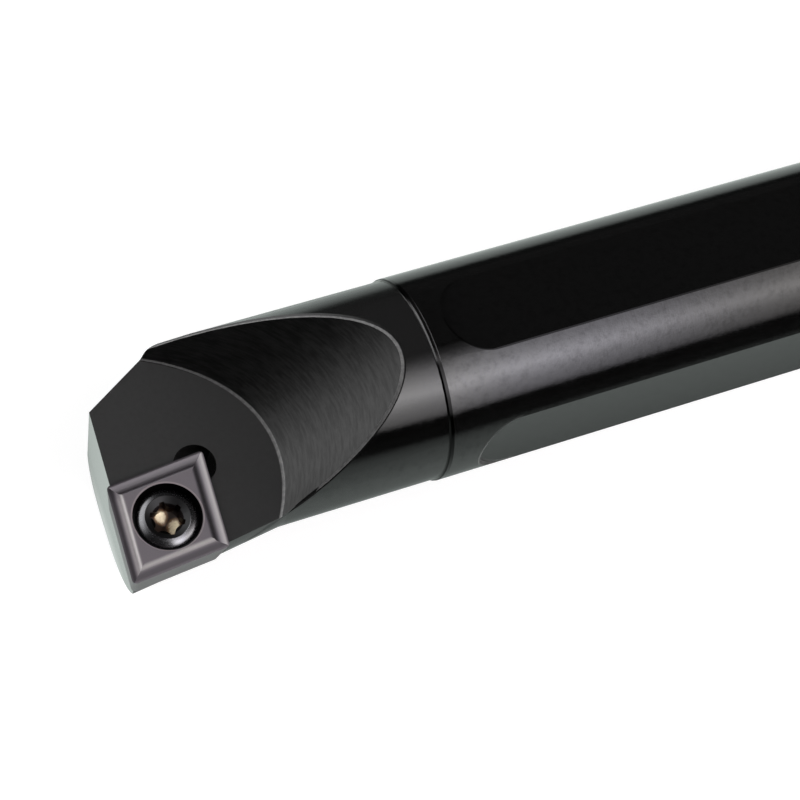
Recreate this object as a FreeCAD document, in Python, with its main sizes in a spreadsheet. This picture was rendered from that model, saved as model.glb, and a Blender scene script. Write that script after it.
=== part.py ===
import FreeCAD, Part
import math
import os
import Sketcher

# Boring bar for a lathe, in millimetres, in three pieces: the turned and milled bar, the four-sided
# cutting insert and the screw that clamps it. X runs along the bar from the cutting end to the rear, the
# origin is the centre of the rear face, +Z is up (the insert faces up) and the cutting nose points towards
# -X and -Y.

SIZES = [
    # bar: shank and neck
    ("tool_length", 200.0, "nose of the insert to the rear face"),
    ("shank_dia", 20.0, "round shank"),
    ("shoulder_step", 0.2, "how much smaller the neck's radius is than the shank's"),
    ("shoulder_back", 32.0, "nose to the shoulder between neck and shank"),
    ("shoulder_chamfer", 0.12, "broken edge of the shoulder"),
    ("rear_chamfer", 1.0, "chamfer round the rear face"),
    # bar: clamping flats
    ("flat_depth", 0.85, "depth of each of the four clamping flats"),
    ("flat_side_margin", 0.05, "how far the cutter runs past each side of a flat"),
    ("top_flat_start", 2.3, "shoulder to the start of the top and bottom flats"),
    ("side_flat_start", 3.5, "shoulder to the start of the flats on the two sides"),
    # bar: head
    ("tip_offset", 12.05, "bar axis to the nose, sideways"),
    ("swell_start", 15.5, "nose to where the head starts to swell towards the tip side"),
    ("swell_angle", 8.3, "lean of the swell against the bar axis, degrees"),
    ("swell_inset", 0.05, "how much smaller the swell's radius is than the neck's"),
    ("front_setback", 0.45, "front face behind the insert's front edge"),
    ("front_relief_angle", 2.3, "front face leans back below the insert, degrees"),
    ("side_setback", 0.45, "side of the head behind the insert's side edge"),
    ("side_relief_angle", 10.0, "side of the head leans in below the insert, degrees"),
    ("back_corner_side", 4.0, "bar axis to the slanted back corner, at the nose"),
    ("back_corner_angle", 30.0, "slanted back corner against the bar axis, degrees"),
    ("back_corner_round", 3.0, "rounding between the back corner and the neck"),
    ("head_drop", 0.35, "flat top of the head below the insert's face"),
    # bar: chip gullet, swept by a round cutter whose axis leans back over the bar
    ("gullet_radius", 17.8, "radius of the gullet's round wall"),
    ("gullet_reach", 29.719, "nose to where the gullet's wall would reach the height of the neck's top"),
    ("gullet_clear", 2.08, "how far the gullet's width runs out past the neck's back side"),
    ("gullet_lean_angle", 53.5, "lean of the gullet axis from the vertical, towards the rear, degrees"),
    ("gullet_yaw_angle", 3.0, "turn of that lean towards the back side, degrees"),
    ("gullet_bevel", 0.25, "bevel along the gullet's rim"),
    ("gullet_fillet", 0.4, "fillet between the gullet and the flat top of the head"),
    # insert and its seat
    ("inscribed_dia", 9.525, "circle inside the insert's four edges"),
    ("insert_thick", 3.97, "thickness of the insert"),
    ("nose_angle", 80.0, "angle of the insert's cutting corner, degrees"),
    ("nose_radius", 0.4, "rounding of the insert's corners"),
    ("clearance_angle", 7.0, "lean of the insert's sides, degrees"),
    ("lead_angle", 5.0, "insert's side edge against the bar axis, degrees"),
    ("seat_tilt_angle", 7.0, "insert face rises inwards from the nose, degrees"),
    ("seat_gap", 0.12, "gap between the insert and the walls of its pocket"),
    ("pocket_overrun", 4.0, "how far the pocket's cutter runs out past the nose"),
    ("relief_dia", 4.0, "hole that relieves the pocket's inner corner"),
    ("relief_inset", 1.5, "centre of that hole inside the insert's inner corner"),
    ("relief_deeper", 0.3, "how much deeper that hole is than the pocket"),
    ("land_width", 0.2, "flat land along the insert's edges"),
    ("groove_depth", 0.24, "depth of the chip groove"),
    ("groove_angle", 22.0, "slope from the land into the chip groove, degrees"),
    ("plateau_inset", 1.02, "insert's edge to the foot of its raised middle"),
    ("plateau_angle", 48.0, "slope of the raised middle's sides, degrees"),
    ("plateau_drop", 0.03, "raised middle below the land"),
    ("groove_round_share", 0.7, "share of the groove's floor taken by the rounding at its outer side"),
    ("hole_dia", 4.4, "hole through the insert"),
    ("sink_dia", 6.6, "mouth of the insert's countersink"),
    ("sink_angle", 60.0, "included angle of the countersink, degrees"),
    # screw
    ("thread_dia", 4.0, "screw thread"),
    ("thread_gap", 0.04, "tapped hole wider than the thread"),
    ("screw_reach", 8.6, "insert's face to the end of the screw"),
    ("screw_end", 0.5, "chamfer on the end of the screw"),
    ("screw_drop", 0.15, "top of the screw head below the insert's face"),
    ("dome_drop", 0.4, "height of the screw head's domed ring"),
    ("dome_radius", 1.6, "roundness of the domed ring"),
    ("screw_rim", 0.08, "broken rim of the screw head"),
    ("head_gap", 0.03, "gap between the screw head and the countersink"),
    ("socket_dia", 3.3, "six-lobe socket across its lobes"),
    ("socket_root_dia", 2.38, "six-lobe socket across its teeth"),
    ("tooth_dia", 1.4, "rounding of each tooth of the socket"),
    ("tooth_overlap", 0.05, "how far each tooth is sunk into the socket's wall"),
    ("socket_depth", 1.6, "depth of the socket"),
    ("socket_tip_angle", 118.0, "included angle of the drilled cone under the socket, degrees"),
    ("mouth_dia", 4.2, "lead-in cone at the socket's mouth"),
    ("mouth_angle", 30.0, "slope of the lead-in cone, degrees"),
]

SHANK_R = "(sizes.shank_dia / 2)"
NECK_R = "(sizes.shank_dia / 2 - sizes.shoulder_step)"
FLAT_HEIGHT = "(sizes.shank_dia / 2 - sizes.flat_depth)"
SHOULDER_X = "(sizes.shoulder_back - sizes.tool_length)"
GULLET_AHEAD = ("(sizes.gullet_radius / cos(sizes.gullet_lean_angle * 1 deg)"
                f" + {NECK_R} * tan(sizes.gullet_lean_angle * 1 deg) - sizes.gullet_reach)")
GULLET_SIDE = f"({NECK_R} + sizes.gullet_clear - sizes.gullet_radius)"
LEAD = "tan(sizes.lead_angle * 1 deg)"
EDGE = "(sizes.inscribed_dia / sin(sizes.nose_angle * 1 deg))"
SINK_SLOPE = "tan(sizes.sink_angle / 2 * 1 deg)"
LOBES = 6  # of the screw's socket
FLATS_IN_PAIR = 2
FACING_UP = 0.9  # a face whose normal rises at least this much faces up
STEEP = 0.5  # a face whose normal rises less than this is a side
TURNED = 0.1  # least forward and sideways part of the back corner's normal
LEVEL = 0.999  # a face whose normal rises less than this isn't level
SAME_RADIUS = 1e-4
SAME_HEIGHT = 1e-4

doc = FreeCAD.newDocument("boring_bar")
sheet = doc.addObject("Spreadsheet::Sheet", "sizes")
for row, (alias, value, meaning) in enumerate(SIZES, start=1):
    sheet.set(f"A{row}", alias)
    sheet.set(f"B{row}", str(value))
    sheet.setAlias(f"B{row}", alias)
    sheet.set(f"C{row}", meaning)
doc.recompute()


def bind(obj, path, formula):
    """Tie one property of an object to a formula of the sheet's sizes."""
    obj.setExpression(path, formula)


def value_of(formula):
    """The present value of a formula of the sheet's sizes."""
    result = sheet.evalExpression(formula.replace("sizes.", ""))
    return float(getattr(result, "Value", result))


def origin_feature(body, role):
    return next(feature for feature in body.Origin.OriginFeatures if feature.Role == role)


def place_on(feature, body, role, base=None, axis=None, angle=None):
    """Attach a sketch or plane to an origin plane, moved by base and turned about axis, both as formulas."""
    feature.AttachmentSupport = [(origin_feature(body, role), "")]
    feature.MapMode = "FlatFace"
    for letter, formula in zip("xyz", base or ()):
        bind(feature, f"AttachmentOffset.Base.{letter}", formula)
    if axis:
        for letter, formula in zip("xyz", axis):
            bind(feature, f"AttachmentOffset.Rotation.Axis.{letter}", formula)
        bind(feature, "AttachmentOffset.Rotation.Angle", angle)


def new_sketch(body, name, role, base=None, axis=None, angle=None):
    sketch = body.newObject("Sketcher::SketchObject", name)
    place_on(sketch, body, role, base, axis, angle)
    return sketch


def fix_point(sketch, geometry, point, x, y):
    """Hold one point of a sketch at two formulas."""
    for kind, formula in (("DistanceX", x), ("DistanceY", y)):
        number = sketch.addConstraint(Sketcher.Constraint(kind, -1, 1, geometry, point, value_of(formula)))
        bind(sketch, f"Constraints[{number}]", formula)


def draw_polygon(sketch, corners, domes=None):
    """Closed outline through corners given as pairs of formulas. A line is straight unless domes gives, for
    the number of the corner that it leaves, the radius of an arc that bulges to the left of its way."""
    places = [FreeCAD.Vector(value_of(x), value_of(y), 0) for x, y in corners]
    lines = []
    ends = []
    for number, (start, end) in enumerate(zip(places, places[1:] + places[:1])):
        radius = (domes or {}).get(number)
        if radius:
            chord = end - start
            side = FreeCAD.Vector(chord.y, -chord.x, 0).normalize()
            centre = (start + end) / 2 + side * math.sqrt(value_of(radius) ** 2 - chord.Length ** 2 / 4)
            circle = Part.Circle(centre, FreeCAD.Vector(0, 0, 1), value_of(radius))
            first, last = (math.atan2((point - centre).y, (point - centre).x) for point in (end, start))
            lines.append(sketch.addGeometry(Part.ArcOfCircle(circle, first, last), False))
        else:
            lines.append(sketch.addGeometry(Part.LineSegment(start, end), False))
        ends.append((2, 1) if radius else (1, 2))
    for line, end, following, start in zip(lines, ends, lines[1:] + lines[:1], ends[1:] + ends[:1]):
        sketch.addConstraint(Sketcher.Constraint("Coincident", line, end[1], following, start[0]))
    for line, end, (x, y) in zip(lines, ends, corners):
        fix_point(sketch, line, end[0], x, y)
    for number, radius in (domes or {}).items():
        constraint = sketch.addConstraint(Sketcher.Constraint("Radius", lines[number], value_of(radius)))
        bind(sketch, f"Constraints[{constraint}]", radius)


def draw_circle(sketch, x, y, diameter):
    centre = FreeCAD.Vector(value_of(x), value_of(y), 0)
    normal = FreeCAD.Vector(0, 0, 1)
    circle = sketch.addGeometry(Part.Circle(centre, normal, value_of(diameter) / 2), False)
    fix_point(sketch, circle, 3, x, y)
    number = sketch.addConstraint(Sketcher.Constraint("Diameter", circle, value_of(diameter)))
    bind(sketch, f"Constraints[{number}]", diameter)


def draw_cut_circle(sketch, centre, radius, chord, arc_side):
    """Circle centred on the sketch's X axis, cut off straight at X = chord; arc_side 1 keeps what is beyond
    the chord and -1 what is before it."""
    half = f"sqrt(({radius}) ^ 2 - (({chord}) - ({centre})) ^ 2)"
    middle = FreeCAD.Vector(value_of(centre), 0, 0)
    angle = math.acos((value_of(chord) - middle.x) / value_of(radius))
    first, last = (-angle, angle) if arc_side > 0 else (angle, 2 * math.pi - angle)
    circle = Part.Circle(middle, FreeCAD.Vector(0, 0, 1), value_of(radius))
    arc = sketch.addGeometry(Part.ArcOfCircle(circle, first, last), False)
    ends = [FreeCAD.Vector(value_of(chord), side * value_of(half), 0) for side in (arc_side, -arc_side)]
    line = sketch.addGeometry(Part.LineSegment(*ends), False)
    sketch.addConstraint(Sketcher.Constraint("Coincident", arc, 2, line, 1))
    sketch.addConstraint(Sketcher.Constraint("Coincident", line, 2, arc, 1))
    fix_point(sketch, arc, 3, centre, "0")
    fix_point(sketch, line, 1, chord, half if arc_side > 0 else f"-{half}")
    number = sketch.addConstraint(Sketcher.Constraint("DistanceX", -1, 1, line, 2, value_of(chord)))
    bind(sketch, f"Constraints[{number}]", chord)


def revolve(body, name, sketch, axis, kind="Revolution"):
    feature = body.newObject(f"PartDesign::{kind}", name)
    feature.Profile = sketch
    feature.ReferenceAxis = (sketch, [axis])
    feature.Angle = 360
    doc.recompute()
    return feature


def extrude(body, name, sketch, kind, length=None, reverse=False, taper=None, both_ways=False):
    """Pad or pocket of a sketch; without a length a pocket goes through all."""
    feature = body.newObject(f"PartDesign::{kind}", name)
    feature.Profile = sketch
    if length:
        bind(feature, "Length", length)
    else:
        feature.Type = "ThroughAll"
    if both_ways:
        feature.SideType = "Symmetric"
    feature.Reversed = reverse
    if taper:
        bind(feature, "TaperAngle", taper)
    doc.recompute()
    return feature


def repeat_round(body, name, feature, axis, count):
    """Repeat a feature evenly in a full turn about an axis."""
    pattern = body.newObject("PartDesign::PolarPattern", name)
    pattern.Originals = [feature]
    pattern.Axis = axis
    pattern.Angle = 360
    pattern.Occurrences = count
    body.Tip = pattern
    doc.recompute()
    return pattern


def dress(body, name, kind, base, edges, size):
    """Fillet or chamfer of named edges, with its size tied to a formula."""
    feature = body.newObject(f"PartDesign::{kind}", name)
    feature.Base = (base, edges)
    bind(feature, "Radius" if kind == "Fillet" else "Size", size)
    doc.recompute()
    return feature


def edges_between(shape, is_first, is_second):
    """Names of the edges that lie between a face of one sort and a face of another."""
    names = []
    for number, edge in enumerate(shape.Edges, start=1):
        faces = shape.ancestorsOfType(edge, Part.Face)
        for one, other in (faces, faces[::-1]) if len(faces) == 2 else ():
            if is_first(one) and is_second(other):
                names.append(f"Edge{number}")
                break
    return names


def is_round(face, radius):
    return isinstance(face.Surface, Part.Cylinder) and abs(face.Surface.Radius - radius) < SAME_RADIUS


def is_back_corner(face):
    """Upright flat that faces forwards and away from the tip side."""
    facing = face.normalAt(0, 0)
    return isinstance(face.Surface, Part.Plane) and facing.x < -TURNED and facing.y > TURNED


def is_head_top(face):
    return isinstance(face.Surface, Part.Plane) and face.normalAt(0, 0).z > FACING_UP


def is_side(face):
    return abs(face.normalAt(0, 0).z) < STEEP


def along_insert(first, second):
    """Point of the insert's plane, measured from the nose along its side edge and along its front edge."""
    turned = "(sizes.lead_angle + sizes.nose_angle)"
    x = f"(({first}) * cos(sizes.lead_angle * 1 deg) + ({second}) * cos({turned} * 1 deg))"
    y = f"(({first}) * sin(sizes.lead_angle * 1 deg) + ({second}) * sin({turned} * 1 deg))"
    return x, y


def four_sides(low, high):
    """Corners of a four-sided outline with the insert's angles, between two distances from the nose."""
    corners = ((low, low), (high, low), (high, high), (low, high))
    return [along_insert(first, second) for first, second in corners]


NOSE = ("-sizes.tool_length", "-sizes.tip_offset", "0")
AXIS_X = ("1", "0", "0")
HOLE_X, HOLE_Y = along_insert(f"{EDGE} / 2", f"{EDGE} / 2")


def turn_blank(body):
    """Shank, shoulder and neck in one turning."""
    sketch = new_sketch(body, "BlankProfile", "XZ_Plane")
    chamfer = "min(sizes.shoulder_chamfer; sizes.shoulder_step * 0.9)"
    draw_polygon(sketch, [
        ("-sizes.tool_length", "0"),
        ("-sizes.tool_length", f"-{NECK_R}"),
        (SHOULDER_X, f"-{NECK_R}"),
        (SHOULDER_X, f"{chamfer} - {SHANK_R}"),
        (f"{SHOULDER_X} + {chamfer}", f"-{SHANK_R}"),
        ("-sizes.rear_chamfer", f"-{SHANK_R}"),
        ("0", f"sizes.rear_chamfer - {SHANK_R}"),
        ("0", "0"),
    ])
    revolve(body, "Blank", sketch, "H_Axis")


def swell_head(body):
    """The head leans towards the tip side, so that it backs the insert up to its side edge."""
    sketch = new_sketch(body, "SwellCircle", "YZ_Plane", ("0", "0", "sizes.swell_start - sizes.tool_length"),
                        ("0", "1", "0"), "sizes.swell_angle")
    draw_circle(sketch, "0", "0", f"2 * ({NECK_R} - sizes.swell_inset)")
    extrude(body, "Swell", sketch, "Pad", "sizes.swell_start + sizes.shank_dia / 4", reverse=True)


def mill_flats(body, name, role, start):
    """A pair of opposite clamping flats, each starting with a half round."""
    half = f"(sqrt({SHANK_R} ^ 2 - {FLAT_HEIGHT} ^ 2) + sizes.flat_side_margin)"
    begin = f"({SHOULDER_X} + {start} + {half})"
    end = "sizes.rear_chamfer"
    sketch = new_sketch(body, f"{name}Outline", role, ("0", "0", FLAT_HEIGHT))
    corners = [(begin, f"-{half}"), (end, f"-{half}"), (end, half), (begin, half)]
    places = [FreeCAD.Vector(value_of(x), value_of(y), 0) for x, y in corners]
    lines = []
    for first, second in zip(places, places[1:]):
        lines.append(sketch.addGeometry(Part.LineSegment(first, second), False))
    circle = Part.Circle(FreeCAD.Vector(value_of(begin), 0, 0), FreeCAD.Vector(0, 0, 1), value_of(half))
    arc = sketch.addGeometry(Part.ArcOfCircle(circle, math.radians(90), math.radians(270)), False)
    sketch.addConstraint(Sketcher.Constraint("Coincident", lines[0], 2, lines[1], 1))
    sketch.addConstraint(Sketcher.Constraint("Coincident", lines[1], 2, lines[2], 1))
    sketch.addConstraint(Sketcher.Constraint("Coincident", lines[2], 2, arc, 1))
    sketch.addConstraint(Sketcher.Constraint("Coincident", arc, 2, lines[0], 1))
    for line, (x, y) in zip(lines, corners):
        fix_point(sketch, line, 1, x, y)
    fix_point(sketch, lines[2], 2, *corners[3])
    number = sketch.addConstraint(Sketcher.Constraint("DistanceX", -1, 1, arc, 3, value_of(begin)))
    bind(sketch, f"Constraints[{number}]", begin)
    pocket = extrude(body, name, sketch, "Pocket", reverse=True)
    repeat_round(body, f"{name}Pair", pocket, (origin_feature(body, "X_Axis"), [""]), FLATS_IN_PAIR)


def cut_head_outline(body):
    """Front face, slanted back corner and relieved side, cut down past the head."""
    front = f"(sizes.tip_offset * {LEAD} + sizes.front_setback)"
    reach = "sizes.shank_dia"
    sketch = new_sketch(body, "FrontOutline", "XY_Plane", ("-sizes.tool_length", "0", "0"),
                        ("0", "-1", "0"), "sizes.front_relief_angle")
    draw_polygon(sketch, [
        (f"{front} - {reach} * {LEAD}", f"-{reach}"),
        (f"{front} + {reach} * {LEAD}", reach),
        (f"-{reach}", reach),
        (f"-{reach}", f"-{reach}"),
    ])
    extrude(body, "FrontFace", sketch, "Pocket", both_ways=True)

    slant = "tan(sizes.back_corner_angle * 1 deg)"
    sketch = new_sketch(body, "BackCornerOutline", "XY_Plane", ("-sizes.tool_length", "0", "0"))
    draw_polygon(sketch, [
        (f"-{reach}", f"sizes.back_corner_side - {reach} * {slant}"),
        (reach, f"sizes.back_corner_side + {reach} * {slant}"),
        (f"-{reach}", f"sizes.back_corner_side + {reach} * {slant}"),
    ])
    extrude(body, "BackCorner", sketch, "Pocket", both_ways=True)

    sketch = new_sketch(body, "SideOutline", "XY_Plane", NOSE, AXIS_X, "sizes.side_relief_angle")
    draw_polygon(sketch, [
        (f"-{reach}", f"sizes.side_setback - {reach} * {LEAD}"),
        (f"-{reach}", f"-{reach}"),
        (EDGE, f"-{reach}"),
        (EDGE, f"sizes.side_setback + {EDGE} * {LEAD}"),
    ])
    extrude(body, "SideRelief", sketch, "Pocket", both_ways=True)


def cut_gullet(body):
    """The round cutter opens the gullet from above, down to the flat top of the head."""
    plane = body.newObject("PartDesign::Plane", "HeadPlane")
    drop = "sizes.head_drop"
    tilt = "sizes.seat_tilt_angle * 1 deg"
    below_nose = (NOSE[0], f"{NOSE[1]} + {drop} * sin({tilt})", f"-{drop} * cos({tilt})")
    place_on(plane, body, "XY_Plane", below_nose, AXIS_X, "sizes.seat_tilt_angle")
    above = "(3 * sizes.shank_dia)"  # start of the cut, clear of the bar
    lean = "sizes.gullet_lean_angle * 1 deg"
    yaw = "sizes.gullet_yaw_angle * 1 deg"
    sketch = new_sketch(
        body, "GulletCircle", "XY_Plane",
        (f"-sizes.tool_length - {GULLET_AHEAD} + {above} * sin({lean}) * cos({yaw})",
         f"{GULLET_SIDE} + {above} * sin({lean}) * sin({yaw})",
         f"{above} * cos({lean})"),
        (f"-sin({yaw})", f"cos({yaw})", "0"), "sizes.gullet_lean_angle")
    draw_cut_circle(sketch, "0", "sizes.gullet_radius", "-sizes.gullet_radius / 2", 1)
    pocket = body.newObject("PartDesign::Pocket", "Gullet")
    pocket.Profile = sketch
    pocket.Type = "UpToFace"
    pocket.UpToFace = (plane, [""])
    doc.recompute()
    return pocket


def finish_gullet(body, gullet):
    """Bevel along the gullet's rim, fillet at its foot, then the rounding that meets the rim's end."""
    radius = value_of("sizes.gullet_radius")
    neck = value_of(NECK_R)
    rim = edges_between(gullet.Shape, lambda face: is_round(face, radius), lambda face: is_round(face, neck))
    bevel = dress(body, "GulletBevel", "Chamfer", gullet, rim, "sizes.gullet_bevel")
    foot = edges_between(bevel.Shape, lambda face: is_round(face, radius), is_head_top)
    fillet = dress(body, "GulletFillet", "Fillet", bevel, foot, "sizes.gullet_fillet")
    corner = edges_between(fillet.Shape, is_back_corner, lambda face: is_round(face, neck))
    dress(body, "BackCornerRound", "Fillet", fillet, corner, "sizes.back_corner_round")


def cut_insert_seat(body):
    """Pocket with leaning walls, relieved inner corner and the screw's hole, all square to the insert."""
    gap = "(sizes.seat_gap / sin(sizes.nose_angle * 1 deg))"
    sketch = new_sketch(body, "SeatOutline", "XY_Plane", NOSE, AXIS_X, "sizes.seat_tilt_angle")
    draw_polygon(sketch, four_sides("-sizes.pocket_overrun", f"({EDGE} + {gap})"))
    extrude(body, "Seat", sketch, "Pocket", "sizes.insert_thick", taper="-sizes.clearance_angle")

    half_turn = "(sizes.lead_angle + sizes.nose_angle / 2) * 1 deg"
    corner_x, corner_y = along_insert(EDGE, EDGE)
    sketch = new_sketch(body, "CornerReliefCircle", "XY_Plane", NOSE, AXIS_X, "sizes.seat_tilt_angle")
    draw_circle(sketch, f"{corner_x} - sizes.relief_inset * cos({half_turn})",
                f"{corner_y} - sizes.relief_inset * sin({half_turn})", "sizes.relief_dia")
    extrude(body, "CornerRelief", sketch, "Pocket", "sizes.insert_thick + sizes.relief_deeper")

    sketch = new_sketch(body, "ScrewHoleCircle", "XY_Plane", NOSE, AXIS_X, "sizes.seat_tilt_angle")
    draw_circle(sketch, HOLE_X, HOLE_Y, "sizes.thread_dia + sizes.thread_gap")
    extrude(body, "ScrewHole", sketch, "Pocket")


def make_bar():
    body = doc.addObject("PartDesign::Body", "Bar")
    body.Label = "bar"
    turn_blank(body)
    swell_head(body)
    mill_flats(body, "TopFlat", "XY_Plane", "sizes.top_flat_start")
    mill_flats(body, "SideFlat", "XZ_Plane", "sizes.side_flat_start")
    cut_head_outline(body)
    gullet = cut_gullet(body)
    finish_gullet(body, gullet)
    cut_insert_seat(body)
    return body


def round_groove(body, plateau):
    """Rounding between the groove's outer slope and its floor."""
    floor = value_of("-sizes.groove_depth")

    def is_floor(face):
        return is_head_top(face) and abs(face.CenterOfMass.z - floor) < SAME_HEIGHT

    def is_outer_slope(face):
        return FACING_UP < face.normalAt(0, 0).z < LEVEL

    slope_width = "sizes.groove_depth / tan(sizes.groove_angle * 1 deg)"
    floor_width = f"(sizes.plateau_inset - sizes.land_width - {slope_width})"
    radius = f"sizes.groove_round_share * {floor_width} / tan(sizes.groove_angle / 2 * 1 deg)"
    edges = edges_between(plateau.Shape, is_floor, is_outer_slope)
    dress(body, "GrooveRound", "Fillet", plateau, edges, radius)


def make_insert():
    body = doc.addObject("PartDesign::Body", "Insert")
    body.Label = "insert"
    for letter, formula in zip("xyz", NOSE):
        bind(body, f"Placement.Base.{letter}", formula)
    body.Placement.Rotation = FreeCAD.Rotation(FreeCAD.Vector(1, 0, 0), 1)
    bind(body, "Placement.Rotation.Angle", "sizes.seat_tilt_angle")

    sketch = new_sketch(body, "InsertOutline", "XY_Plane")
    draw_polygon(sketch, four_sides("0", EDGE))
    block = extrude(body, "Block", sketch, "Pad", "sizes.insert_thick", reverse=True,
                    taper="-sizes.clearance_angle")
    corners = edges_between(block.Shape, is_side, is_side)
    dress(body, "Corners", "Fillet", block, corners, "sizes.nose_radius")

    spread = "sin(sizes.nose_angle * 1 deg)"
    land = f"(sizes.land_width / {spread})"
    sketch = new_sketch(body, "GrooveOutline", "XY_Plane")
    draw_polygon(sketch, four_sides(land, f"({EDGE} - {land})"))
    extrude(body, "ChipGroove", sketch, "Pocket", "sizes.groove_depth", taper="sizes.groove_angle - 90")
    foot = f"(sizes.plateau_inset / {spread})"
    sketch = new_sketch(body, "PlateauOutline", "XY_Plane", ("0", "0", "-sizes.groove_depth"))
    draw_polygon(sketch, four_sides(foot, f"({EDGE} - {foot})"))
    plateau = extrude(body, "Plateau", sketch, "Pad", "sizes.groove_depth - sizes.plateau_drop",
                      taper="sizes.plateau_angle - 90")
    round_groove(body, plateau)

    over = "sizes.insert_thick"
    sketch = new_sketch(body, "HoleProfile", "XZ_Plane", (HOLE_X, "0", f"-({HOLE_Y})"))
    draw_polygon(sketch, [
        ("0", over),
        (f"sizes.sink_dia / 2 + {over} * {SINK_SLOPE}", over),
        ("sizes.hole_dia / 2", f"-(sizes.sink_dia - sizes.hole_dia) / 2 / {SINK_SLOPE}"),
        ("sizes.hole_dia / 2", f"-2 * {over}"),
        ("0", f"-2 * {over}"),
    ])
    revolve(body, "InsertHole", sketch, "V_Axis", "Groove")
    return body


def make_screw():
    body = doc.addObject("PartDesign::Body", "Screw")
    body.Label = "insert_screw"
    tilt = "sizes.seat_tilt_angle * 1 deg"
    centre = (f"{NOSE[0]} + {HOLE_X}", f"{NOSE[1]} + {HOLE_Y} * cos({tilt})", f"{HOLE_Y} * sin({tilt})")
    for letter, formula in zip("xyz", centre):
        bind(body, f"Placement.Base.{letter}", formula)
    body.Placement.Rotation = FreeCAD.Rotation(FreeCAD.Vector(1, 0, 0), 1)
    bind(body, "Placement.Rotation.Angle", "sizes.seat_tilt_angle")

    top = "-sizes.screw_drop"
    thread = "(sizes.thread_dia / 2)"
    cone = "(sizes.sink_dia / 2 - sizes.head_gap)"
    rim_depth = "(sizes.screw_drop + sizes.dome_drop + sizes.screw_rim)"
    rim_radius = f"({cone} - {rim_depth} * {SINK_SLOPE})"
    sketch = new_sketch(body, "ScrewProfile", "XZ_Plane")
    draw_polygon(sketch, [
        ("0", top),
        ("sizes.mouth_dia / 2", top),
        (f"{rim_radius} - sizes.screw_rim", f"sizes.screw_rim - {rim_depth}"),
        (rim_radius, f"-{rim_depth}"),
        (thread, f"-({cone} - {thread}) / {SINK_SLOPE}"),
        (thread, "sizes.screw_end - sizes.screw_reach"),
        (f"{thread} - sizes.screw_end", "-sizes.screw_reach"),
        ("0", "-sizes.screw_reach"),
    ], {1: "sizes.dome_radius"})
    revolve(body, "ScrewBlank", sketch, "V_Axis")

    sketch = new_sketch(body, "SocketCircle", "XY_Plane", ("0", "0", top))
    draw_circle(sketch, "0", "0", "sizes.socket_dia")
    extrude(body, "Socket", sketch, "Pocket", "sizes.socket_depth")
    sketch = new_sketch(body, "ToothCircle", "XY_Plane", ("0", "0", f"{top} - sizes.socket_depth"))
    draw_cut_circle(sketch, "(sizes.socket_root_dia + sizes.tooth_dia) / 2", "sizes.tooth_dia / 2",
                    "sizes.socket_dia / 2 + sizes.tooth_overlap", -1)
    tooth = extrude(body, "Tooth", sketch, "Pad", "sizes.socket_depth")
    repeat_round(body, "Teeth", tooth, (origin_feature(body, "Z_Axis"), [""]), LOBES)

    floor = f"{top} - sizes.socket_depth"
    sketch = new_sketch(body, "SocketTipProfile", "XZ_Plane")
    draw_polygon(sketch, [
        ("0", floor),
        ("sizes.socket_root_dia / 2", floor),
        ("0", f"{floor} - sizes.socket_root_dia / 2 / tan(sizes.socket_tip_angle / 2 * 1 deg)"),
    ])
    revolve(body, "SocketTip", sketch, "V_Axis", "Groove")

    slope = "tan(sizes.mouth_angle * 1 deg)"
    sketch = new_sketch(body, "MouthProfile", "XZ_Plane")
    draw_polygon(sketch, [
        ("0", f"{top} + sizes.screw_rim * {slope}"),
        ("sizes.mouth_dia / 2 + sizes.screw_rim", f"{top} + sizes.screw_rim * {slope}"),
        ("0", f"{top} - sizes.mouth_dia / 2 * {slope}"),
    ])
    revolve(body, "SocketMouth", sketch, "V_Axis", "Groove")
    return body


parts = [make_bar(), make_insert(), make_screw()]
doc.recompute()

faulty = [item.Name for item in doc.Objects if "Invalid" in item.State or "Error" in item.State]
if faulty:
    raise SystemExit(f"failed objects: {faulty}")
os.makedirs("parts", exist_ok=True)
for part in parts:
    shape = part.Shape
    if shape.isNull() or not shape.isValid() or len(shape.Solids) != 1:
        raise SystemExit(f"{part.Label} is not one valid solid")
    shape.exportStep(f"parts/{part.Label}.step")
    box = shape.BoundBox
    print(part.Label, "volume", round(shape.Volume, 2), "box",
          [round(edge, 2) for edge in (box.XMin, box.YMin, box.ZMin, box.XMax, box.YMax, box.ZMax)])
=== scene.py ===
import math
from types import SimpleNamespace

import bpy
from mathutils import Matrix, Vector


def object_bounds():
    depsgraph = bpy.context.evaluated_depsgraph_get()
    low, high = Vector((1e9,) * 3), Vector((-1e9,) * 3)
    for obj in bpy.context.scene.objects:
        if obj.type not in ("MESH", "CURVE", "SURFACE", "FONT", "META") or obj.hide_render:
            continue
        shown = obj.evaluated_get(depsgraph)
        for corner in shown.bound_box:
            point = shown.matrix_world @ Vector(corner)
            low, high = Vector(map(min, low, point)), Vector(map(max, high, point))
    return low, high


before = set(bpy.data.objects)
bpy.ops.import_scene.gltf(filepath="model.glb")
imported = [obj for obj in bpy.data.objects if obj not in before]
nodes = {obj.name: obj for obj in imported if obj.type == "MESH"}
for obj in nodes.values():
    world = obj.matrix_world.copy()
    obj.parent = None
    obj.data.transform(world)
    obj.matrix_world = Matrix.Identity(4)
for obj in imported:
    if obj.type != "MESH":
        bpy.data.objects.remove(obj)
cad_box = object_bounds()
scene = bpy.context.scene

# Sizes and places on the part, in millimetres: the bar lies along X, with its nose at the low end

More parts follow.
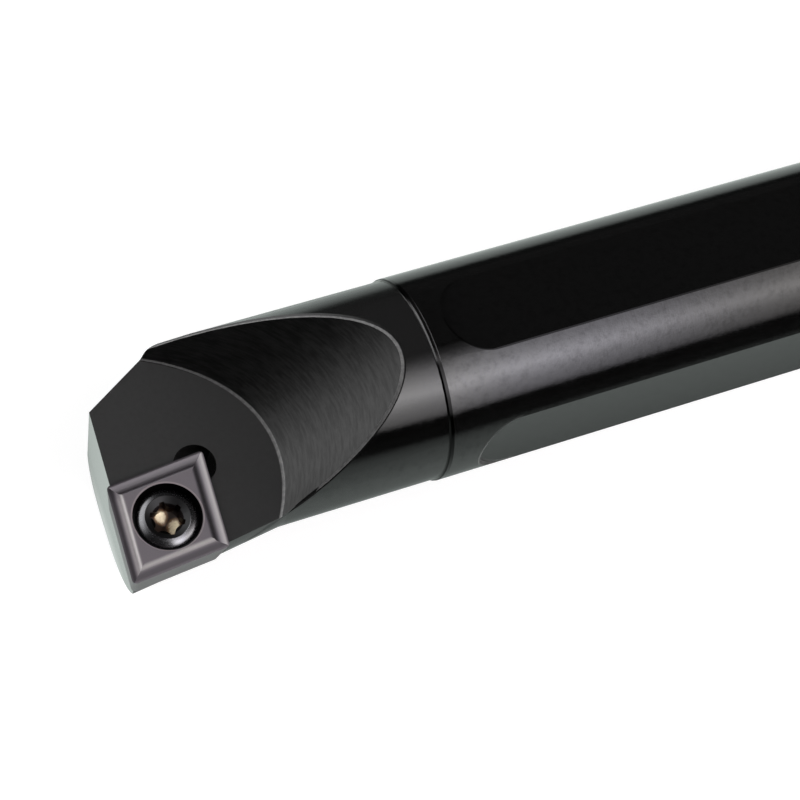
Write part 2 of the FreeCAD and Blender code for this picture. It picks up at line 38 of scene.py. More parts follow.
MILLIMETRES = 1000.0
NOSE = (-200.0, -12.05, 0.0)
HEAD_TILT = math.radians(7)
HEAD_UP = (0.0, -math.sin(HEAD_TILT), math.cos(HEAD_TILT))
HEAD_DROP = 0.35
HEAD_END = -168.5
NECK_END = -168.0
SHANK_RADIUS = 10.0
FLAT_HEIGHT = 9.15
TOP_START = -161.62
SIDE_START = -160.42
GULLET_LEAN, GULLET_YAW = math.radians(53.5), math.radians(3)
GULLET_POINT = (-213.45, -5.92, 0.0)
GULLET_AXIS = (math.sin(GULLET_LEAN) * math.cos(GULLET_YAW), math.sin(GULLET_LEAN) * math.sin(GULLET_YAW),
               math.cos(GULLET_LEAN))
GULLET_RADIUS = 17.8
SWELL_YAW = math.radians(8.3)
SWELL_POINT = (-184.5, 0.0, 0.0)
SWELL_AXIS = (math.cos(SWELL_YAW), math.sin(SWELL_YAW), 0.0)
INSERT_SIDE = 9.525
INSERT_CORNER = math.radians(80)
INSERT_LEAD = math.radians(5)
SCREW_CENTRE = (-194.76, -6.78, 0.647)


def on_head(angle):
    """Direction in the tilted plane of the head's flat, turned from the bar's axis."""
    return (math.cos(angle), math.sin(angle) * math.cos(HEAD_TILT), math.sin(angle) * math.sin(HEAD_TILT))


# from the insert's side edge and front edge inwards
FROM_SIDE = on_head(INSERT_LEAD + math.radians(90))
FROM_FRONT = on_head(INSERT_LEAD + INSERT_CORNER - math.radians(90))


def grey(level):
    return (level, level, level)


# Shader nodes


class Graph:
    """Builds shader nodes; calls return sockets, and a plain number or colour may stand for any input."""

    def __init__(self, tree):
        self.tree = tree
        tree.nodes.clear()

    def node(self, kind, **settings):
        made = self.tree.nodes.new("ShaderNode" + kind)
        for name, value in settings.items():
            setattr(made, name, value)
        return made

    def put(self, value, target):
        """Links a socket to an input, or sets the input itself; None leaves it as it is."""
        if isinstance(value, bpy.types.NodeSocket):
            self.tree.links.new(value, target)
        elif target.type == "RGBA":
            target.default_value = (*value, 1.0)
        elif value is not None:
            target.default_value = value

    def fill(self, made, values):
        for value, target in zip(values, made.inputs):
            self.put(value, target)
        return made.outputs

    def math(self, operation, *values, clamp=False):
        return self.fill(self.node("Math", operation=operation, use_clamp=clamp), values)[0]

    def chain(self, operation, values):
        """One two-sided operation along a row of values."""
        total = values[0]
        for value in values[1:]:
            total = self.math(operation, total, value)
        return total

    def add(self, *values):
        return self.chain("ADD", values)

    def multiply(self, *values):
        return self.chain("MULTIPLY", values)

    def maximum(self, *values):
        return self.chain("MAXIMUM", values)

    def minimum(self, *values):
        return self.chain("MINIMUM", values)

    def subtract(self, first, second):
        return self.math("SUBTRACT", first, second)

    def divide(self, first, second):
        return self.math("DIVIDE", first, second)

    def absolute(self, value):
        return self.math("ABSOLUTE", value)

    def above(self, value, limit):
        """1 where value is more than limit, else 0."""
        return self.math("GREATER_THAN", value, limit)

    def below(self, value, limit):
        """1 where value is less than limit, else 0."""
        return self.math("LESS_THAN", value, limit)

    def near(self, value, middle, reach):
        """1 where value is within reach of middle, else 0."""
        return self.math("COMPARE", value, middle, reach)

    def hypotenuse(self, first, second):
        return self.math("SQRT", self.add(self.multiply(first, first), self.multiply(second, second)))

    def vector(self, operation, *values):
        outputs = self.fill(self.node("VectorMath", operation=operation), values)
        return outputs["Value" if operation in ("DOT_PRODUCT", "LENGTH") else "Vector"]

    def dot(self, first, second):
        return self.vector("DOT_PRODUCT", first, second)

    def from_axis(self, place, point, axis):
        """Distance of a place from the axis through a point, and its height along that axis."""
        offset = self.vector("SUBTRACT", place, point)
        along = self.dot(offset, axis)
        length = self.vector("LENGTH", offset)
        squares = self.subtract(self.multiply(length, length), self.multiply(along, along))
        return self.math("SQRT", squares), along

    def split(self, vector):
        return self.fill(self.node("SeparateXYZ"), [vector])

    def combine(self, *values):
        return self.fill(self.node("CombineXYZ"), values)[0]

    def object_place(self):
        return self.node("TexCoord").outputs["Object"]

    def step(self, value, low, high, out_low=0.0, out_high=1.0):
        """Smooth change from out_low to out_high as value goes from low to high."""
        made = self.node("MapRange", interpolation_type="SMOOTHSTEP")
        return self.fill(made, (value, low, high, out_low, out_high))[0]

    def band(self, value, low, high, soft=0.03):
        """1 between low and high, softened at both ends."""
        return self.multiply(self.step(value, low - soft, low + soft),
                             self.step(value, high - soft, high + soft, 1.0, 0.0))

    def rise(self, value, low, high):
        """Even rise from 0 to 1 as value goes from low to high."""
        return self.math("DIVIDE", self.subtract(value, low), high - low, clamp=True)

    def mix(self, factor, first, second):
        """Mix of two colours."""
        made = self.node("Mix", data_type="RGBA")
        for value, target in ((factor, made.inputs[0]), (first, made.inputs[6]), (second, made.inputs[7])):
            self.put(value, target)
        return made.outputs[2]

    def blend(self, factor, first, second):
        """Mix of two numbers."""
        made = self.node("Mix", data_type="FLOAT")
        for value, target in ((factor, made.inputs[0]), (first, made.inputs[2]), (second, made.inputs[3])):
            self.put(value, target)
        return made.outputs[0]

    def ramp(self, value, stops):
        """Colour along a row of stops, each a position from 0 to 1 and its colour."""
        made = self.node("ValToRGB")
        self.put(value, made.inputs[0])
        elements = made.color_ramp.elements
        while len(elements) < len(stops):
            elements.new(1.0)
        for element, (position, colour) in zip(elements, stops):
            element.position = position
            element.color = (*colour, 1.0)
        return made.outputs[0]

    def noise(self, vector, scale, detail, roughness):
        made = self.node("TexNoise")
        self.put(vector, made.inputs["Vector"])
        made.inputs["Scale"].default_value = scale
        made.inputs["Detail"].default_value = detail
        made.inputs["Roughness"].default_value = roughness
        return made.outputs[0]

    def bump(self, height, distance, normal=None):
        made = self.node("Bump")
        made.inputs["Strength"].default_value = 1.0
        made.inputs["Distance"].default_value = distance
        self.put(height, made.inputs["Height"])
        self.put(normal, made.inputs["Normal"])
        return made.outputs[0]

    def principled(self, **inputs):
        shader = self.node("BsdfPrincipled")
        for name, value in inputs.items():
            self.put(value, shader.inputs[name.replace("_", " ")])
        return shader.outputs[0]

    def emission(self, strength, colour=grey(1.0)):
        made = self.node("Emission")
        self.put(colour, made.inputs["Color"])
        self.put(strength, made.inputs["Strength"])
        return made.outputs[0]

    def finish(self, shader, kind="OutputMaterial"):
        self.fill(self.node(kind), [shader])


def new_material(name):
    material = bpy.data.materials.new(name)
    material.use_nodes = True
    return material, Graph(material.node_tree)


def dress(node, material):
    node.data.materials.clear()
    node.data.materials.append(material)


def part_place(g):
    return g.vector("MULTIPLY", g.object_place(), grey(MILLIMETRES))


# The bar: black oxide on steel, bare on its front face, with painted highlight and shade lines along its
# edges

WALL_SLOPE = 0.08
WALL_REACH = 0.35
BEVEL_REACH = 0.5
THIN_ZONE = (-6.5, -2.0)
RIM_ON_WALL = (9.66, 9.72)
FOOT_FADE = (0.07, 0.15)
SHOULDER_LINES = (-167.93, -167.56)
LIT_TURNS = (-0.42, -0.34), (0.05, 0.45)
ON_ROUND = SHANK_RADIUS - 0.03
REAR_END = -2.0
TOP_EDGE_RADII = (4.00, 4.19)
START_ZONE = (-166.0, -155.0)
START_DEPTH = 8.6
ARC_RADIUS = 4.05
ARC_FADE = (4.19, 4.25)

# colours in linear light; a pair is the two ends of a mix
OXIDE = grey(0.0022), grey(0.0034)
# painted light on the neck's upper side
NECK_TOP_PAINTED_LIGHT = grey(0.014)
FLAT_OXIDE = grey(0.0030)
WALL_STEEL = grey(0.026), grey(0.039)
HEAD_STEEL = grey(0.0), grey(0.0175)
# painted highlight on the shoulder
SHOULDER_PAINTED_HIGHLIGHT = (0.078, 0.078, 0.080), (0.045, 0.045, 0.046)
# painted shade lines
PAINTED_SHADE_LINE = grey(0.010)
# painted light where the side flats start
RUN_OUT_PAINTED_LIGHT = (0.060, 0.062, 0.061), (0.016, 0.017, 0.017)
ARC_PAINTED_HIGHLIGHT = (0.095, 0.098, 0.096)
BARE_STEEL = (0.475, 0.480, 0.470), (0.515, 0.520, 0.510)
# painted light on the lower front face
FRONT_PAINTED_LIGHT = (0.92, 0.90, 0.90)


def bar_surface(g):
    """Where a point of the bar lies and which way it faces."""
    place = part_place(g)
    x, y, z = g.split(place)
    facing = g.node("NewGeometry").outputs["True Normal"]
    nx, ny, nz = g.split(facing)
    return SimpleNamespace(place=place, x=x, y=y, z=z, facing=facing, nx=nx, ny=ny, nz=nz,
                           radius=g.hypotenuse(y, z))


def head_masks(g, at):
    """The front face, the head's flat, the gullet's wall, and the painted highlight lines on its rim and
    foot.
    """
    in_head = g.below(at.x, HEAD_END)
    radial, _ = g.from_axis(at.place, GULLET_POINT, GULLET_AXIS)
    off_wall = g.absolute(g.subtract(radial, GULLET_RADIUS))
    slope = g.absolute(g.dot(at.facing, GULLET_AXIS))
    height = g.dot(g.vector("SUBTRACT", at.place, NOSE), HEAD_UP)
    wall = g.multiply(in_head, g.below(slope, WALL_SLOPE), g.below(off_wall, WALL_REACH))
    flat_top = g.multiply(in_head, g.above(g.dot(at.facing, HEAD_UP), 0.9975),
                          g.below(radial, GULLET_RADIUS - 0.1))

    # the rim's painted highlight line, on the bevel and on the wall beside it, thins and dims towards the
    # lower right
    thin = g.step(at.y, *THIN_ZONE, 1.0, 0.0)
    roundness = g.divide(g.add(g.multiply(at.ny, at.y), g.multiply(at.nz, at.z)), at.radius)
    bevel = g.multiply(in_head, g.above(slope, WALL_SLOPE), g.below(off_wall, BEVEL_REACH),
                       g.above(height, 0.2), g.below(roundness, 0.965), g.above(at.nz, 0.0))
    inner, outer = g.blend(thin, 0.07, 0.14), g.blend(thin, 0.12, 0.18)
    on_bevel = g.multiply(bevel, g.step(off_wall, inner, outer, 1.0, 0.0))
    swell_radius, _ = g.from_axis(at.place, SWELL_POINT, SWELL_AXIS)
    on_wall = g.multiply(wall, g.step(g.minimum(at.radius, swell_radius), *RIM_ON_WALL),
                         g.step(at.x, -176.0, -172.0, 1.0, 0.0), g.blend(thin, 0.7, 0.2))
    rim = g.maximum(on_bevel, on_wall)
    # painted highlight along the foot of the gullet's wall, brighter towards -Y
    from_foot = g.hypotenuse(off_wall, g.add(height, HEAD_DROP))
    foot = g.multiply(in_head, g.step(from_foot, *FOOT_FADE, 1.0, 0.0))

    rim_level = g.blend(thin, 0.125, g.step(off_wall, 0.08, 0.12, 0.06, 0.085))
    foot_level = g.step(at.y, -6.0, 7.0, 0.105, 0.048)
    painted_light_level = g.maximum(g.multiply(rim, rim_level), g.multiply(foot, foot_level))
    return SimpleNamespace(front=g.below(at.nx, -0.93), height=height, wall=wall, flat_top=flat_top,
                           painted_light=g.maximum(rim, foot), painted_light_level=painted_light_level)


def shoulder_masks(g, at):
    """Two painted highlight lines, just before the shoulder's chamfer and on it, where it turns to the
    light, and painted shade on its dark foot away from them.
    """
    before, on_chamfer = SHOULDER_LINES
    rise, fall = LIT_TURNS
    turn = g.divide(at.y, at.radius)
    lit = g.multiply(g.step(turn, *rise), g.step(turn, *fall, 1.0, 0.0), g.above(at.nz, 0.0))
    lines = g.multiply(lit, g.maximum(g.near(at.x, on_chamfer, 0.05), g.near(at.x, before, 0.06)))
    level = g.mix(g.step(at.x, -167.8, -167.7), *SHOULDER_PAINTED_HIGHLIGHT)
    dark = g.multiply(g.band(at.x, NECK_END, on_chamfer), g.subtract(1.0, lit))
    return SimpleNamespace(lines=lines, level=level, dark=dark)


def flat_masks(g, at):
    """The four flats, painted shade on the rounded edge of the top one, and painted light on the half-round
    starts of the side ones.
    """
    def pair(direction, height):
        squarely = g.above(g.absolute(direction), 0.9995)
        return g.multiply(squarely, g.near(g.absolute(height), FLAT_HEIGHT, 0.03))

    from_start = g.hypotenuse(g.minimum(g.subtract(at.x, TOP_START), 0.0), at.y)
    dark_edge = g.multiply(g.band(from_start, *TOP_EDGE_RADII), g.below(at.y, 0.0),
                           g.step(at.nz, 0.85, 0.90), g.above(at.radius, ON_ROUND),
                           g.below(at.x, REAR_END))

    # painted light on the side flats' starts: the run-out, and a highlight line along the arc that fades
    # upwards
    near_start = g.multiply(g.band(at.x, *START_ZONE), g.above(g.absolute(at.y), START_DEPTH))
    from_start = g.hypotenuse(g.subtract(at.x, SIDE_START), at.z)
    off_flat = g.step(g.absolute(at.ny), 0.9982, 0.9995, 1.0, 0.0)
    run_out = g.multiply(near_start, g.below(at.radius, ON_ROUND), g.step(at.x, -160.6, -159.4, 1.0, 0.0),
                         g.maximum(off_flat, g.step(from_start, 3.55, 3.85)))
    arc = g.multiply(near_start, g.below(at.x, SIDE_START), g.step(from_start, *ARC_FADE, 1.0, 0.0),
                     g.above(from_start, ARC_RADIUS), g.step(at.z, 0.5, 4.0, 1.0, 0.15))
    return SimpleNamespace(flats=g.maximum(pair(at.nz, at.z), pair(at.ny, at.y)), dark_edge=dark_edge,
                           run_out=run_out, arc=arc)


def bar_noises(g, at, height):
    """Uneven oxide at several sizes, turning marks, and the cutter's strokes in the gullet."""
    rings = g.noise(g.vector("MULTIPLY", at.place, (9.0, 0.12, 0.12)), 1.0, 2.0, 0.5)
    # each stroke runs at one height above the head's flat and is broken up along its way
    along_strokes = g.combine(g.multiply(height, 6.5), g.multiply(at.y, 0.6), g.multiply(at.x, 0.6))
    return SimpleNamespace(
        cloud=g.noise(at.place, 0.35, 3.0, 0.6), spots=g.noise(at.place, 2.2, 3.0, 0.65),
        fine=g.noise(at.place, 22.0, 2.0, 0.7), blotches=g.noise(at.place, 1.3, 4.0, 0.7), rings=rings,
        strokes=g.step(g.noise(along_strokes, 1.0, 3.0, 0.6), 0.3, 0.7))


def bar_colour(g, at, head, shoulder, side, noise):
    # painted light: the upward-facing side of the neck is lighter
    neck_top = g.multiply(g.below(at.x, NECK_END), g.step(at.nz, 0.75, 0.97))
    wall_grain = g.multiply(noise.strokes, g.blend(noise.spots, 0.7, 1.3))
    # grain on the head's flat, with painted shade darkening it towards the rear
    top_grain_and_shade = g.multiply(g.step(at.x, -199.0, -183.0, 1.0, 0.55), g.blend(noise.spots, 0.6, 1.4),
                           g.blend(noise.fine, 0.7, 1.3))
    # colour of the painted highlight lines on the rim and foot, broken up by spots
    painted_light = g.multiply(head.painted_light_level, g.step(noise.spots, 0.35, 0.65, 0.75, 1.25))
    # painted shade lines: the shoulder's foot and the top flat's rounded edge
    dark = g.maximum(shoulder.dark, side.dark_edge)
    # painted light on the run-out, lightest low down
    run_out = g.mix(g.step(at.z, -3.0, -0.5), *RUN_OUT_PAINTED_LIGHT)
    # the front face is bare steel, with painted light brightening it towards its bottom
    front = g.mix(g.step(at.z, -10.0, -6.2), FRONT_PAINTED_LIGHT, g.mix(noise.spots, *BARE_STEEL))

    colour = g.mix(noise.cloud, *OXIDE)
    for mask, over in (
            (neck_top, NECK_TOP_PAINTED_LIGHT), (side.flats, FLAT_OXIDE), (head.wall, g.mix(wall_grain, *WALL_STEEL)),
            (head.flat_top, g.mix(top_grain_and_shade, *HEAD_STEEL)), (head.painted_light, painted_light),
            (shoulder.lines, shoulder.level), (dark, PAINTED_SHADE_LINE), (side.run_out, run_out),
            (side.arc, ARC_PAINTED_HIGHLIGHT), (head.front, front)):
        colour = g.mix(mask, colour, over)
    return colour, dark


def bar_steel():
    material, g = new_material("black_oxide_steel")
    at = bar_surface(g)
    head = head_masks(g, at)
    shoulder = shoulder_masks(g, at)
    side = flat_masks(g, at)
    noise = bar_noises(g, at, head.height)
    colour, dark = bar_colour(g, at, head, shoulder, side, noise)
    # all the painted light: highlights on the rim, foot and shoulder, and light on the side flats' starts
    painted_light = g.maximum(head.painted_light, shoulder.lines, side.run_out, side.arc)

    # a metal's mirroring dims with its colour, so the painted shade lines and the gullet's wall are
    # metallic, and the oxide mirrors less in blotches and on the neck's upper side
    neck_side = g.multiply(g.below(at.x, NECK_END), g.step(at.nz, 0.2, 0.5), 0.25)
    oxide = g.maximum(g.step(noise.blotches, 0.42, 0.75, 0.0, 0.26), neck_side)
    metallic = g.blend(g.maximum(head.flat_top, painted_light), oxide, 0.0)
    metallic = g.maximum(head.front, metallic, dark, g.multiply(head.wall, g.subtract(1.0, head.painted_light)))

    rough = g.add(g.step(noise.cloud, 0.3, 0.7, 0.055, 0.095), g.step(noise.spots, 0.45, 0.75, 0.0, 0.06))
    neck_back = g.multiply(g.below(at.x, NECK_END), g.step(at.ny, 0.1, 0.4))
    for mask, over in (
            (side.flats, 0.12), (neck_back, 0.2), (head.wall, g.step(noise.strokes, 0.0, 1.0, 0.36, 0.40)),
            (head.flat_top, 0.5), (painted_light, 0.4), (head.front, 0.22)):
        rough = g.blend(mask, rough, over)

    grain = g.add(noise.rings, g.multiply(noise.fine, 0.3), g.multiply(noise.spots, 4.0))
    normal = g.bump(grain, 0.0000014)
    normal = g.bump(g.multiply(noise.strokes, head.wall), 0.000004, normal)
    g.finish(g.principled(Base_Color=colour, Metallic=metallic, Roughness=rough, Normal=normal, IOR=1.5))
    return material


dress(nodes["bar"], bar_steel())

# The insert: sintered carbide with a moulded groove along its four edges, and the groove's light and shade
# painted on its upper face

GROOVE_REACH = 1.6
SHADE_LIMIT = 0.7
TOP_FADE = (-0.5, -0.4)
SINK_FADE = (3.20, 3.25)
LIP_RADII = (3.23, 3.38)
CARBIDE = (0.125, 0.121, 0.124), (0.170, 0.166, 0.169)
SHADE_TINT = (1.0, 0.89, 1.01), (1.0, 0.95, 0.95)
# painted shadow in the countersink and a painted highlight on its lip
SINK_SHADOW = grey(0.003)
LIP_HIGHLIGHT = (0.27, 0.235, 0.245)

# painted light and shade across the groove at each side: brightness by millimetres from that edge
GROOVE_SHADES = {
    "far": ((0.0, 0.02), (0.06, 0.045), (0.15, 0.085), (0.24, 0.10), (0.35, 0.10), (0.45, 0.085),
            (0.55, 0.065), (0.70, 0.058), (0.80, 0.05), (0.88, 0.04), (0.98, 0.03), (1.06, 0.06),
            (1.15, 0.11), (1.24, 0.19), (1.33, 0.17)),
    "front": ((0.0, 0.10), (0.13, 0.07), (0.25, 0.045), (0.40, 0.055), (0.52, 0.11), (0.62, 0.19),
              (0.72, 0.29), (0.82, 0.34), (0.93, 0.34), (1.01, 0.40), (1.10, 0.54), (1.17, 0.64),
              (1.25, 0.42), (1.34, 0.22), (1.44, 0.17)),
    "right": ((0.0, 0.08), (0.06, 0.16), (0.15, 0.31), (0.25, 0.37), (0.35, 0.35), (0.44, 0.30),
              (0.54, 0.25), (0.64, 0.19), (0.73, 0.13), (0.83, 0.085), (0.93, 0.045), (1.05, 0.03),
              (1.22, 0.025), (1.31, 0.05), (1.40, 0.11), (1.50, 0.17)),
    "side": ((0.0, 0.17), (0.10, 0.17), (0.22, 0.12), (0.32, 0.10), (0.60, 0.105), (0.72, 0.12),
             (0.82, 0.15), (0.90, 0.20), (1.00, 0.28), (1.10, 0.38), (1.20, 0.46), (1.29, 0.44),
             (1.38, 0.34), (1.48, 0.22), (1.56, 0.17)),
}


def groove_shade(g, place):
    """Painted light and shade of the insert's upper face, from the distance to its nearest edge."""
    offset = g.vector("SUBTRACT", place, NOSE)
    side, front = g.dot(offset, FROM_SIDE), g.dot(offset, FROM_FRONT)
    far, right = g.subtract(INSERT_SIDE, side), g.subtract(INSERT_SIDE, front)
    from_edge = {"far": far, "front": front, "right": right, "side": side}
    nearest = g.minimum(g.minimum(side, far), g.minimum(front, right))
    shades = []
    for name, distance in from_edge.items():
        stops = [(reach / GROOVE_REACH, grey(level)) for reach, level in GROOVE_SHADES[name]]
        is_nearest = g.below(g.absolute(g.subtract(distance, nearest)), 0.001)
        shade = g.multiply(g.ramp(g.divide(distance, GROOVE_REACH), stops), is_nearest)
        if name == "front":
            shade = g.multiply(shade, g.step(far, 0.4, 2.0, 0.6, 1.0))
        shades.append(shade)
    return g.minimum(g.add(*shades), SHADE_LIMIT)


def insert_carbide():
    material, g = new_material("sintered_carbide")
    place = part_place(g)
    radius, depth = g.from_axis(place, SCREW_CENTRE, HEAD_UP)
    grain = g.noise(place, 14.0, 3.0, 0.7)
    shade = g.multiply(groove_shade(g, place), g.blend(grain, 0.80, 1.08))
    tint = g.mix(g.step(shade, 0.05, 0.4), *SHADE_TINT)
    top = g.vector("MULTIPLY", g.combine(shade, shade, shade), tint)
    flank = g.mix(grain, *CARBIDE)
    # the countersink is dark with painted shadow, and its lip has a painted highlight
    sink = g.multiply(g.step(radius, *SINK_FADE, 1.0, 0.0), g.below(depth, -0.035))
    lip_highlight = g.multiply(g.band(radius, *LIP_RADII, 0.02), g.above(depth, -0.6))
    colour = g.mix(g.step(depth, *TOP_FADE), flank, top)
    colour = g.mix(sink, colour, SINK_SHADOW)
    colour = g.mix(lip_highlight, colour, LIP_HIGHLIGHT)
    rough = g.step(grain, 0.3, 0.7, 0.34, 0.44)
    g.finish(g.principled(Base_Color=colour, Metallic=g.blend(sink, 0.25, 1.0), Roughness=rough,
                          Normal=g.bump(grain, 0.000005), IOR=1.5))
    return material


dress(nodes["insert"], insert_carbide())

# The screw: blackened steel; its socket's floor is golden brown, with painted reflections in straw-coloured
# patches

SOCKET_RADIUS = 1.75
MOUTH_RADIUS = 2.11
MOUTH_DEPTH = -0.62
SOCKET_FLOOR = (-1.74, -1.70)
# centres of the painted reflection patches, from the screw's centre in X and Y
REFLECTION_PATCHES = ((-0.22, 0.96), (0.69, -0.16), (0.55, -0.65))
PATCH_REACH = (0.28, 0.92)
SCREW_STEEL = (0.120, 0.120, 0.126), (0.150, 0.150, 0.158)
MOUTH_STEEL = (0.030, 0.030, 0.031)
# painted shade on the socket's walls
SOCKET_WALL_SHADE = (0.040, 0.018, 0.012), (0.004, 0.003, 0.003)
# the socket floor's dark and brown tones, and the straw of its painted reflections
SOCKET_FLOOR_DARK, SOCKET_FLOOR_BROWN, STRAW_REFLECTION = (0.030, 0.014, 0.008), (0.22, 0.115, 0.05), (0.84, 0.72, 0.50)


# painted reflections: soft patches on the socket's floor, broken up by grain
def painted_reflections(g, place, grain):
    from_screw = g.vector("SUBTRACT", place, SCREW_CENTRE)
    patches = []
    for patch in REFLECTION_PATCHES:
        to_patch = g.vector("MULTIPLY", g.vector("SUBTRACT", from_screw, (*patch, 0.0)), (1.0, 1.0, 0.0))
        patches.append(g.step(g.vector("LENGTH", to_patch), *PATCH_REACH, 1.0, 0.0))
    return g.multiply(g.maximum(*patches), g.step(grain, 0.3, 0.7, 0.75, 1.0))


def screw_steel():
    material, g = new_material("blackened_screw")
    place = part_place(g)
    radius, depth = g.from_axis(place, SCREW_CENTRE, HEAD_UP)
    grain = g.noise(place, 6.0, 3.0, 0.6)
    in_socket = g.below(radius, SOCKET_RADIUS)
    mouth = g.multiply(g.below(radius, MOUTH_RADIUS), g.above(depth, MOUTH_DEPTH))
    walls = g.multiply(in_socket, g.below(depth, -0.5))
    bottom = g.multiply(in_socket, g.step(depth, *SOCKET_FLOOR, 1.0, 0.0))
    reflections = painted_reflections(g, place, grain)
    # the socket's floor, dark away from the painted reflections and brown to straw within them
    floor_and_reflections = g.mix(g.step(reflections, 0.1, 0.5), SOCKET_FLOOR_DARK, SOCKET_FLOOR_BROWN)
    floor_and_reflections = g.mix(g.step(reflections, 0.45, 0.9), floor_and_reflections, STRAW_REFLECTION)

    colour = g.mix(grain, *SCREW_STEEL)
    colour = g.mix(mouth, colour, MOUTH_STEEL)
    # painted shade on the socket's walls, darkest near the top
    colour = g.mix(walls, colour, g.mix(g.step(depth, -1.7, -0.8), *SOCKET_WALL_SHADE))
    colour = g.mix(bottom, colour, floor_and_reflections)
    rough = g.blend(g.maximum(mouth, walls), g.step(grain, 0.3, 0.7, 0.22, 0.28), 0.5)
    metallic = g.subtract(1.0, g.multiply(bottom, 0.7))
    g.finish(g.principled(Base_Color=colour, Metallic=metallic, Roughness=rough,
                          Normal=g.bump(grain, 0.0000005), IOR=1.8))
    return material


dress(nodes["insert_screw"], screw_steel())

# Floor and world, in metres: white to the camera, plain as light, and at a level of their own in the metal

FLOOR_REACH = 6.0
FLOOR_PLAIN = 0.80
FLOOR_SEEN, FLOOR_LIFT = 0.35, 0.80
MIRRORED_TINT = (0.91, 1.0, 0.96)
MIRRORED_LEVEL = 0.72
WORLD_SEEN, WORLD_MIRRORED, WORLD_PLAIN = 1.0, 0.04, 0.18


def stage_mesh(name, points, faces, place=(0.0, 0.0, 0.0)):
    mesh = bpy.data.meshes.new(name)
    mesh.from_pydata(points, [], faces)
    made = bpy.data.objects.new(name, mesh)
    made.location = place
    scene.collection.objects.link(made)
    return made


def pale_floor():
    """Floor under the bar; the metal mirrors it as a lit strip, dimmer where the bar lies on it."""
    height = cad_box[0].z
    corners = [(a * FLOOR_REACH, b * FLOOR_REACH, height) for a, b in ((-1, -1), (1, -1), (1, 1), (-1, 1))]
    floor = stage_mesh("floor", corners, [(0, 1, 2, 3)])
    material, g = new_material("pale_floor")
    rays = g.node("LightPath").outputs
    along, across, _ = g.split(g.object_place())
    # painted shadow in the mirrored strip: dimmer close to the bar along its length, except beyond its nose
    contact = g.maximum(g.step(g.absolute(across), 0.008, 0.019, 0.46, 1.0),
                        g.step(along, -0.1986, -0.1968, 1.0, 0.0))
    reach = g.multiply(g.step(across, 0.03, 0.14, 1.0, 0.03), g.step(across, -0.09, -0.028, 0.03, 1.0))
    mirrored = g.emission(g.multiply(MIRRORED_LEVEL, contact, reach), MIRRORED_TINT)
    diffuse = g.node("BsdfDiffuse")
    g.put(g.mix(rays["Is Camera Ray"], grey(FLOOR_PLAIN), grey(FLOOR_SEEN)), diffuse.inputs[0])
    lift = g.emission(g.multiply(rays["Is Camera Ray"], FLOOR_LIFT))
    seen = g.fill(g.node("AddShader"), (diffuse.outputs[0], lift))[0]
    g.finish(g.fill(g.node("MixShader"), (rays["Is Glossy Ray"], seen, mirrored))[0])
    floor.data.materials.append(material)


def studio_world():
    world = bpy.data.worlds.new("studio")
    scene.world = world
    world.use_nodes = True
    g = Graph(world.node_tree)
    rays = g.node("LightPath").outputs
    level = g.blend(rays["Is Glossy Ray"], WORLD_PLAIN, WORLD_MIRRORED)
    level = g.blend(rays["Is Camera Ray"], level, WORLD_SEEN)
    g.finish(g.fill(g.node("Background"), (grey(1.0), level))[0], "OutputWorld")


pale_floor()
studio_world()

# Light panels, in metres and degrees

DEGREES = 180 / math.pi
# the key light is part of a tube along the bar; its profile is a share of the peak at each elevation
KEY_PEAK = 5.7
KEY_RADIUS = 0.6
KEY_ENDS = (-0.16, 0.9)
KEY_TOP = 90.0
KEY_PROFILE = ((10.5, 0.0), (12.5, 0.10), (17, 0.28), (21, 0.36), (27, 0.47), (33, 0.63), (38, 0.82),
               (43, 1.0), (48, 0.92), (53, 0.76), (59, 0.57), (65, 0.41), (70, 0.25), (75, 0.13),
               (81, 0.04), (88, 0.0))
# where along the bar the light starts and ends to fall off, and its brightness at both places
KEY_FALL = (0.065, 0.175, 1.36, 0.76)
# its colour along the bar
KEY_TINT = ((0.045, (0.985, 0.96, 0.965)), (0.07, (0.94, 0.915, 1.0)), (0.12, (0.945, 0.92, 1.0)),
            (0.185, (1.0, 0.96, 0.94)))

# the lamp is part of a sphere round the head, behind it and to its left, with soft edges
LAMP_PEAK = 2.9
LAMP_RADIUS = 0.62
LAMP_CENTRE = (-0.19, 0.0, 0.0)
LAMP_TURNS = (80.0, 215.0)
LAMP_HEIGHTS = (4.0, 76.0)
LAMP_TURN_RISE, LAMP_TURN_FALL = (84.0, 108.0), (142.0, 200.0)
LAMP_HEIGHT_RISE, LAMP_HEIGHT_FALL = (5.0, 16.0), (50.0, 74.0)


def between(ends, share):
    return ends[0] + (ends[1] - ends[0]) * share


def light_panel(name, rows, columns, point_at, place=(0.0, 0.0, 0.0)):
    """Glowing grid that the camera doesn't see; point_at takes the shares of the way up and along."""
    across = columns + 1
    points = [point_at(row / rows, column / columns) for row in range(rows + 1) for column in range(across)]
    corners = [row * across + column for row in range(rows) for column in range(columns)]
    made = stage_mesh(name, points, [(a, a + 1, a + across + 1, a + across) for a in corners], place)
    made.visible_camera = False
    made.visible_shadow = False
    material, g = new_material(name)
    made.data.materials.append(material)
    return g


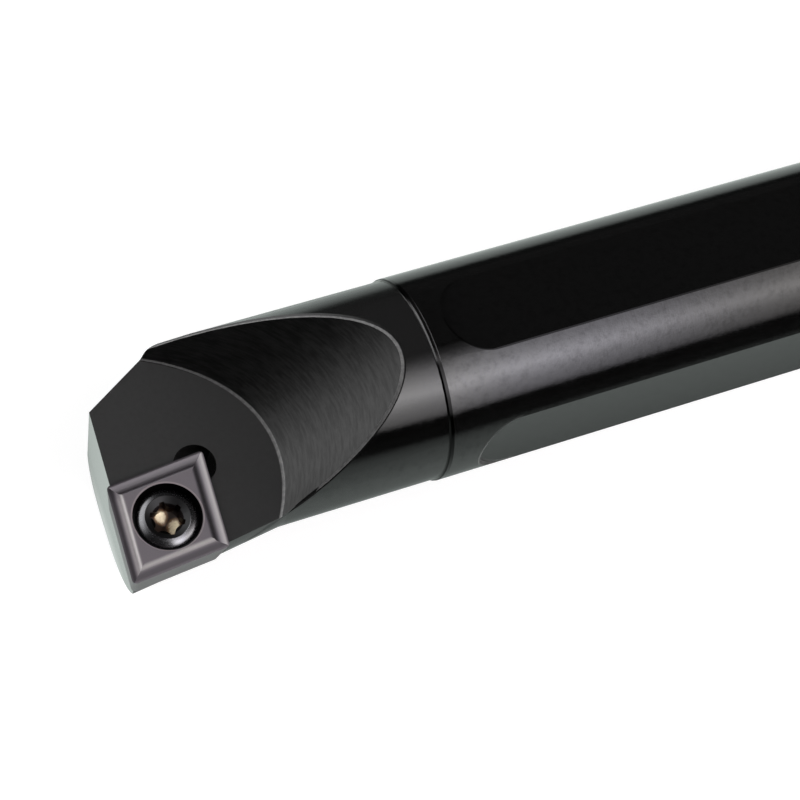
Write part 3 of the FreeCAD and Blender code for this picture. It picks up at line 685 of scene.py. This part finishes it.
def key_panel():
    def point_at(up, along):
        angle = math.radians(KEY_TOP * up)
        return (between(KEY_ENDS, along), -KEY_RADIUS * math.cos(angle), KEY_RADIUS * math.sin(angle))

    g = light_panel("key_panel", 24, 1, point_at)
    along, across, height = g.split(g.object_place())
    up = g.multiply(g.math("ARCTAN2", height, g.multiply(across, -1.0)), DEGREES / KEY_TOP)
    profile = g.ramp(up, [(at / KEY_TOP, grey(share)) for at, share in KEY_PROFILE])
    start, end = KEY_TINT[0][0], KEY_TINT[-1][0]
    tints = [((at - start) / (end - start), colour) for at, colour in KEY_TINT]
    tint = g.ramp(g.rise(along, start, end), tints)
    soft_end = g.step(along, KEY_ENDS[0], KEY_ENDS[0] + 0.06)
    g.finish(g.emission(g.multiply(profile, soft_end, g.step(along, *KEY_FALL), KEY_PEAK), tint))


def back_lamp():
    def point_at(up, round_head):
        height = math.radians(between(LAMP_HEIGHTS, up))
        turn = math.radians(between(LAMP_TURNS, round_head))
        flat = LAMP_RADIUS * math.cos(height)
        return (flat * math.cos(turn), flat * math.sin(turn), LAMP_RADIUS * math.sin(height))

    g = light_panel("back_panel", 16, 16, point_at, LAMP_CENTRE)
    along, across, above = g.split(g.object_place())
    turn = g.multiply(g.math("ARCTAN2", across, along), DEGREES)
    turn = g.add(turn, g.multiply(g.below(turn, 0.0), 360.0))
    height = g.multiply(g.math("ARCSINE", g.divide(above, LAMP_RADIUS)), DEGREES)
    g.finish(g.emission(g.multiply(
        g.step(turn, *LAMP_TURN_RISE), g.step(turn, *LAMP_TURN_FALL, 1.0, 0.0),
        g.step(height, *LAMP_HEIGHT_RISE), g.step(height, *LAMP_HEIGHT_FALL, 1.0, 0.0), LAMP_PEAK)))


key_panel()
back_lamp()

# Camera, fitted to the photograph: its place in metres, its angles in degrees, its focal length in pixels

CAMERA_PLACE = (-0.248410, -0.104664, 0.206282)
CAMERA_YAW, CAMERA_PITCH, CAMERA_ROLL = -37.5685, 32.1644, 16.6516
FOCAL_PIXELS = 2565.93
FRAME_PIXELS = 800
SENSOR_MILLIMETRES = 36.0


def photo_camera():
    data = bpy.data.cameras.new("camera")
    data.sensor_width = SENSOR_MILLIMETRES
    data.lens = FOCAL_PIXELS / FRAME_PIXELS * SENSOR_MILLIMETRES
    data.clip_start = 0.01
    data.clip_end = 30.0
    camera = bpy.data.objects.new("camera", data)
    scene.collection.objects.link(camera)
    placed = Matrix.Translation(CAMERA_PLACE)
    for angle, axis in ((CAMERA_YAW, "Z"), (CAMERA_PITCH, "X"), (CAMERA_ROLL, "Z")):
        placed = placed @ Matrix.Rotation(math.radians(angle), 4, axis)
    camera.matrix_world = placed
    scene.camera = camera


photo_camera()
scene.view_settings.view_transform = "Standard"
